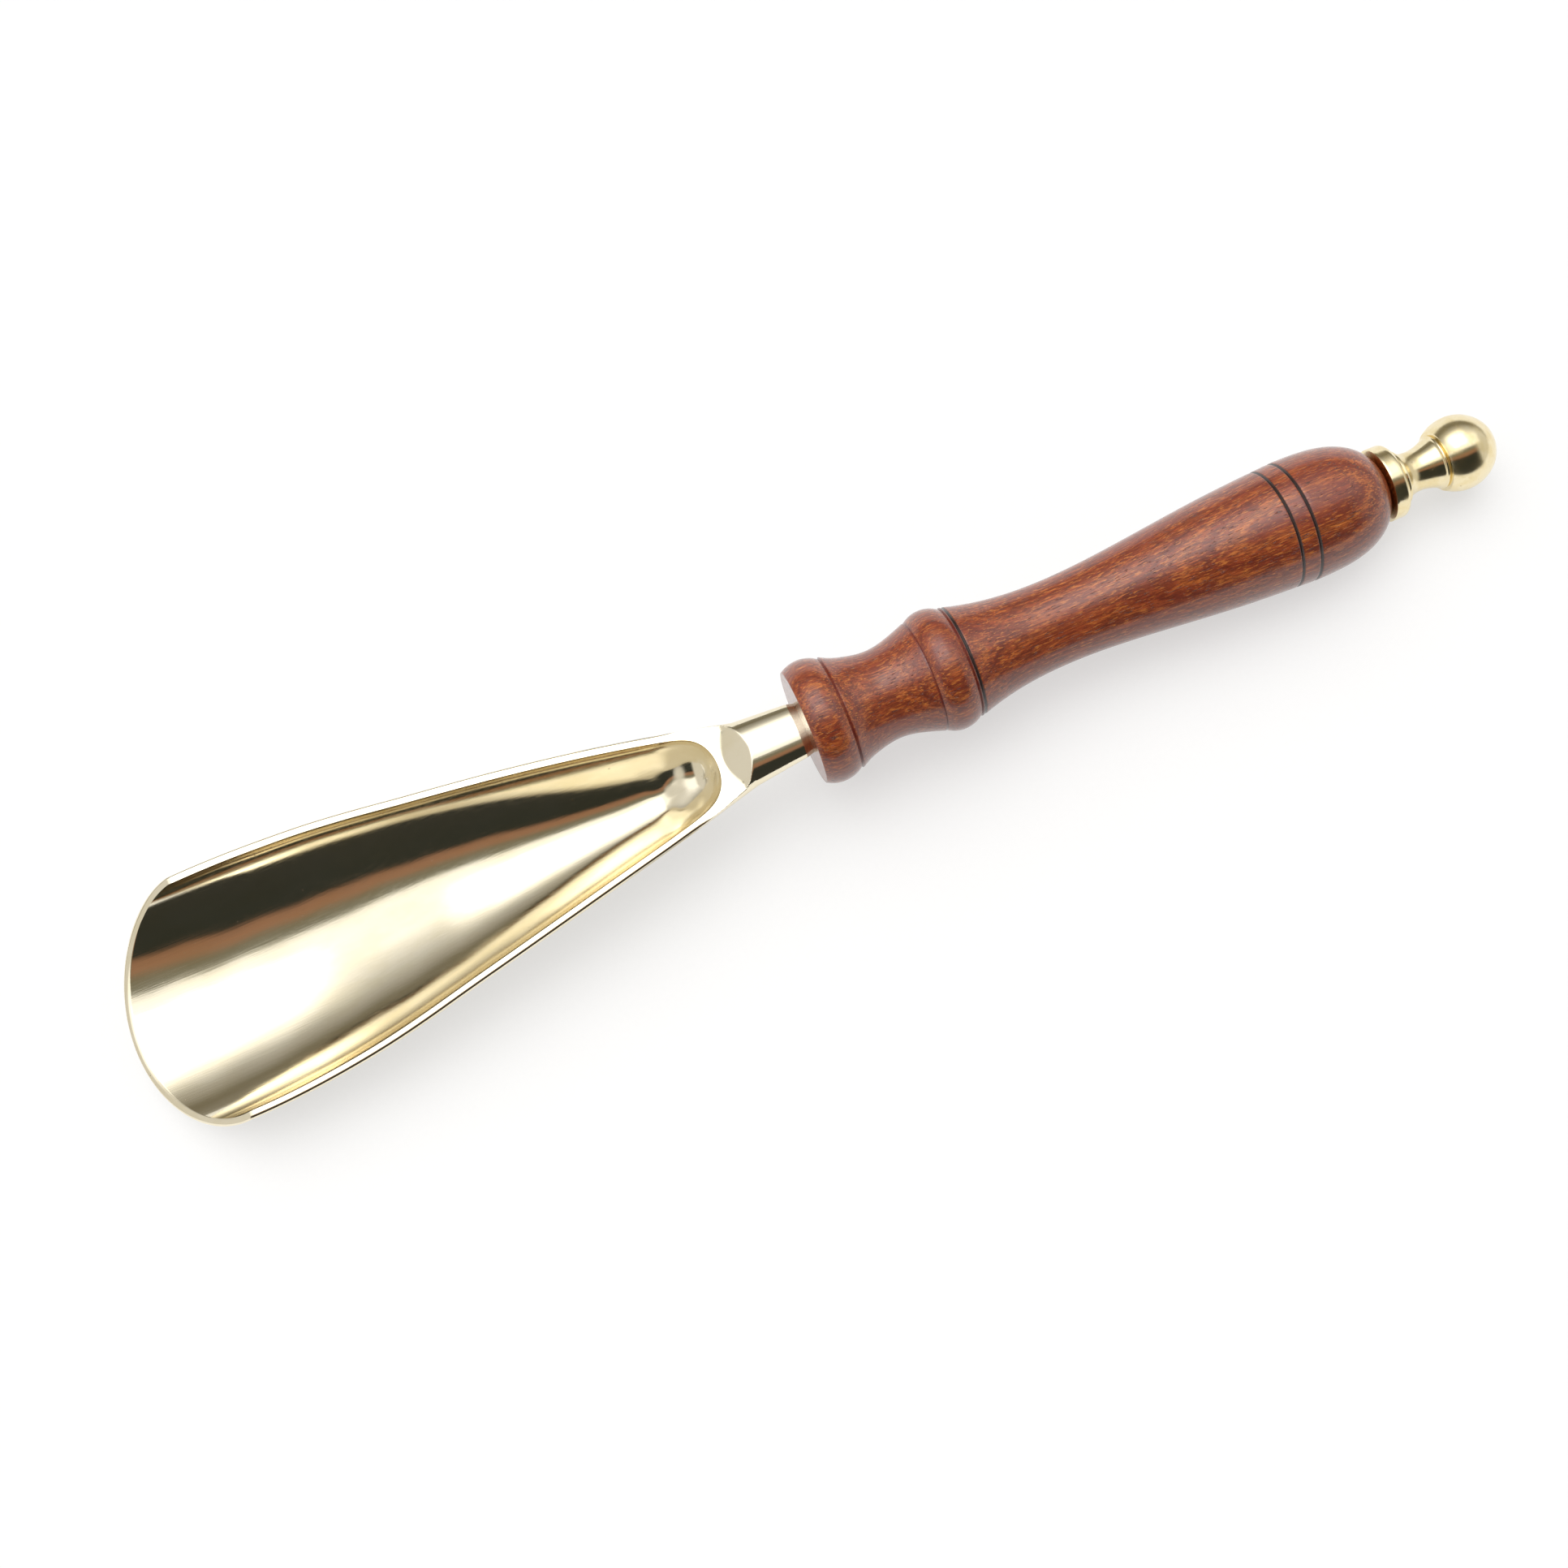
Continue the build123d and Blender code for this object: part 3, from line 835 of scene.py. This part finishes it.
def wood_colour(n, place, fibres, pores):
    """Colour of the wood, with its red quirks and burnt grooves."""
    x, y, z = n.axes(place)
    streaks = n.noise(n.scaled(place, (0.1, 1.7, 1.7), (2, 6, 4)), 1.0, 4.0, 0.6, 0.2)
    flecks = n.noise(n.scaled(place, (0.5, 3.0, 3.0), (9, 4, 2)), 1.0, 3.0, 0.6)
    cloud = n.noise(n.scaled(place, (0.05, 0.1, 0.1), (5, 5, 5)), 1.0, 2.0, 0.5)
    colour = n.ramp(growth_layers(n, place, x, y, z), WOOD_LAYERS)
    colour = n.mix(n.range(fibres, 0.38, 0.6, 0.8, 0.0), colour, FIBRE_BROWN)
    colour = n.mix(n.range(streaks, 0.38, 0.58, 0.7, 0.0), colour, STREAK_BROWN)
    colour = n.mix(n.range(flecks, 0.53, 0.68, 0.0, 0.65), colour, FLECK_GOLD)
    colour = n.mix(n.range(cloud, 0.4, 0.7, 0.0, 0.35), colour, CLOUD_RED)
    colour = n.mix(n.math("MULTIPLY", pores, 0.75), colour, PORE_BROWN)
    red = turned_marks(n, x, QUIRK_XS, 0.15, 0.45, 0.7)
    burn = turned_marks(n, x, GROOVE_XS, GROOVE_WIDTH * 0.35, GROOVE_WIDTH * 0.75, 0.96)
    return n.mix(burn, n.mix(red, colour, QUIRK_RED), BURNT_BLACK)


def handle_wood():
    """Lacquered red-brown hardwood: layered figure, long fibres, gold flecks, short pores, burnt rings."""
    material, n = new_material("handle_wood")
    place = object_mm(n)
    fibres = n.noise(n.scaled(place, (0.3, 4.6, 4.6)), 1.0, 5.0, 0.68, 0.4)
    pore_noise = n.noise(n.scaled(place, (0.42, 3.4, 3.4), (1, 8, 3)), 1.0, 2.0, 0.5)
    pores = n.range(pore_noise, 0.64, 0.70)
    ripple = n.noise(n.scaled(place, (2.6, 0.5, 0.5)), 1.0, 2.0, 0.5)
    height = n.math("SUBTRACT", n.math("MULTIPLY", fibres, 0.5), pores)
    height = n.math("ADD", height, n.math("MULTIPLY", ripple, 0.35))
    linked = {
        "Base Color": wood_colour(n, place, fibres, pores),
        "Normal": n.bump(height, 0.05 * MM),
        "Coat Normal": n.bump(height, 0.03 * MM),
        "Roughness": n.range(fibres, 0.3, 0.7, 0.42, 0.55),
    }
    fixed = {"Coat Weight": 0.9, "Coat Roughness": 0.11, "Coat IOR": 1.5, "Specular IOR Level": 0.4}
    surface(n, linked, fixed)
    return material


def rod_steel():
    """Bright drawn steel with a trace of oil."""
    material, n = new_material("rod_steel")
    place = object_mm(n)
    drawn = n.noise(n.scaled(place, (0.05, 6.0, 6.0)), 1.0, 3.0, 0.5)
    colour = n.mix(drawn, (0.48, 0.48, 0.49, 1), (0.62, 0.61, 0.60, 1))
    roughness = n.range(drawn, 0.3, 0.7, 0.22, 0.38)
    normal = n.bump(drawn, 0.01 * MM, 0.6)
    surface(n, {"Base Color": colour, "Roughness": roughness, "Normal": normal}, {"Metallic": 1.0})
    return material


# --- studio --------------------------------------------------------------------------------------
VIEW_TURN = 13.4  # degrees by which the camera leans to the near side of straight above
FILL_ENERGY = 1.5
FILL_SPREAD = 70.0
FILL_LEAN = 22.0
FILL_TURN = -8.0
PAPER_SIZE = 3.0  # half of the paper's side in metres
PAPER_STEPS = 12
PAPER_GLOW = 0.6  # own light of the paper, which keeps the shadows pale

# Colours of the world by direction. Angles are in degrees from the direction of the camera: "near"
# turns towards the near side and "across" towards the finial.
BACKDROP = (1.0, 1.0, 0.99, 1)  # plain surroundings past the paper's edge, shown to the camera only
CORE_COLOUR = (3.0, 2.97, 2.92, 1)  # bright middle of the softbox, the highlight on the wood
WALL_LOW = (0.3, 0.28, 0.24, 1)
WALL_HIGH = (0.72, 0.70, 0.66, 1)
ROOM_EDGE = (-1.5, 1.5)  # where the softbox ends and the room starts
ROOM_SPAN = 60.0
ROOM_COLOURS = [
    (0.0, (0.24, 0.24, 0.20, 1)), (0.14, (0.20, 0.18, 0.13, 1)), (0.22, (0.33, 0.18, 0.11, 1)),
    (0.33, (0.30, 0.16, 0.10, 1)), (0.38, (0.030, 0.033, 0.027, 1)), (1.0, (0.036, 0.036, 0.030, 1)),
]
SOFTBOX_SPAN = -110.0
SOFTBOX_COLOURS = [
    (0.0, (1.05, 1.03, 1.0, 1)), (0.06, (1.3, 1.3, 1.28, 1)), (0.34, (1.3, 1.3, 1.28, 1)),
    (0.45, (0.92, 0.91, 0.89, 1)), (0.55, (0.66, 0.65, 0.63, 1)), (0.78, (0.18, 0.16, 0.115, 1)),
    (1.0, WALL_LOW),
]


def studio_colour(n):
    """Softbox with a bright core over the far side, dark room over the near side, grey walls."""
    x, y, z = n.axes(n.new("ShaderNodeTexCoord", output="Generated"))
    near = n.math("DEGREES", n.math("ARCTAN2", n.math("MULTIPLY", y, -1.0), z))
    near = n.math("SUBTRACT", near, VIEW_TURN)
    across = n.math("DEGREES", n.math("ARCSINE", x))
    room = n.ramp(n.math("DIVIDE", near, ROOM_SPAN), ROOM_COLOURS)
    room_near, room_across = n.window(near, ROOM_EDGE, (88, 100)), n.window(across, (-46, -38), (38, 48))
    core_near, core_across = n.window(near, (-72, -34), (-20, -8)), n.window(across, (-30, -16), (16, 30))
    box = n.ramp(n.math("DIVIDE", near, SOFTBOX_SPAN), SOFTBOX_COLOURS)
    box = n.mix(n.math("MULTIPLY", core_across, core_near), box, CORE_COLOUR)
    box_near, box_across = n.range(near, *ROOM_EDGE, 1.0, 0.0), n.window(across, (-46, -34), (50, 62))
    walls = n.mix(n.range(near, -100, -62), WALL_LOW, WALL_HIGH)
    colour = n.mix(n.math("MULTIPLY", box_across, box_near), walls, box)
    return n.mix(n.math("MULTIPLY", room_near, room_across), colour, room)


def studio_light():
    """World that lights the scene by direction and looks plain to the camera."""
    world = bpy.data.worlds.new("studio")
    bpy.context.scene.world = world
    world.use_nodes = True
    n = Nodes(world.node_tree)
    colour = n.mix(n.new("ShaderNodeLightPath", output="Is Camera Ray"), studio_colour(n), BACKDROP)
    background = n.new("ShaderNodeBackground", {"Color": colour, "Strength": 1.0})
    output = world.node_tree.nodes.new("ShaderNodeOutputWorld")
    world.node_tree.links.new(background, output.inputs[0])


def fill_light():
    """Broad soft light on paper and wood, from the softbox's direction, that metal doesn't mirror."""
    light = bpy.data.lights.new("fill", "SUN")
    light.energy = FILL_ENERGY
    light.angle = math.radians(FILL_SPREAD)
    lamp = bpy.data.objects.new("fill", light)
    bpy.context.scene.collection.objects.link(lamp)
    lamp.rotation_euler = (math.radians(-FILL_LEAN), math.radians(FILL_TURN), 0)
    lamp.visible_glossy = False


def white_paper():
    """Matt paper with a fine tooth: mid grey with light of its own, so that it shows as white."""
    material, n = new_material("white_paper")
    tooth = n.noise(n.new("ShaderNodeTexCoord", output="Object"), 900.0, 3.0, 0.6)
    colour = n.mix(tooth, (0.29, 0.29, 0.29, 1), (0.31, 0.31, 0.31, 1))
    fixed = {"Roughness": 0.9, "Specular IOR Level": 0.1}
    fixed.update({"Emission Color": (1, 1, 1, 1), "Emission Strength": PAPER_GLOW})
    surface(n, {"Base Color": colour, "Normal": n.bump(tooth, 0.01 * MM, 0.3)}, fixed)
    return material


def floor_plane():
    """Wide white paper under the object."""
    mesh = bpy.data.meshes.new("studio_floor")
    places = np.linspace(-PAPER_SIZE, PAPER_SIZE, PAPER_STEPS + 1)
    corners = [(x, y, cad_box[0][2]) for x in places for y in places]
    mesh.from_pydata(corners, [], grid_faces(len(places), len(places), 0)[:, ::-1].tolist())
    mesh.materials.append(white_paper())
    plane = bpy.data.objects.new("studio_floor", mesh)
    bpy.context.scene.collection.objects.link(plane)


def add_camera():
    """Camera above the near side, turned so that the handle climbs across the picture."""
    camera = bpy.data.cameras.new("camera")
    camera.lens = CAMERA_LENS
    camera.sensor_width = 36.0
    camera.clip_start = 0.01
    holder = bpy.data.objects.new("camera", camera)
    bpy.context.scene.collection.objects.link(holder)
    turn = HANDLE_FRAME.to_3x3()
    place = HANDLE_FRAME @ (Vector(CAMERA_PLACE) * MM)
    forward = (HANDLE_FRAME @ (Vector(CAMERA_AIM) * MM) - place).normalized()
    along = turn @ Vector((1, 0, 0))
    along = (along - forward * along.dot(forward)).normalized()
    across = (-forward).cross(along)
    angle = math.radians(AXIS_ANGLE)
    right = along * math.cos(angle) - across * math.sin(angle)
    up = along * math.sin(angle) + across * math.cos(angle)
    holder.matrix_world = Matrix.Translation(place) @ Matrix((right, up, -forward)).transposed().to_4x4()
    bpy.context.scene.camera = holder


add_camera()
studio_light()
fill_light()
floor_plane()
add_piece(blade_mesh(), "blade", blade_brass())
add_piece(turned_mesh("handle_turned", handle_profile()), "handle", handle_wood())
add_piece(turned_mesh("finial_turned", finial_profile()), "finial", finial_brass())
steel = rod_steel()
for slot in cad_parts["tie_rod"].material_slots:
    slot.material = steel
bpy.context.scene.view_settings.view_transform = "Standard"
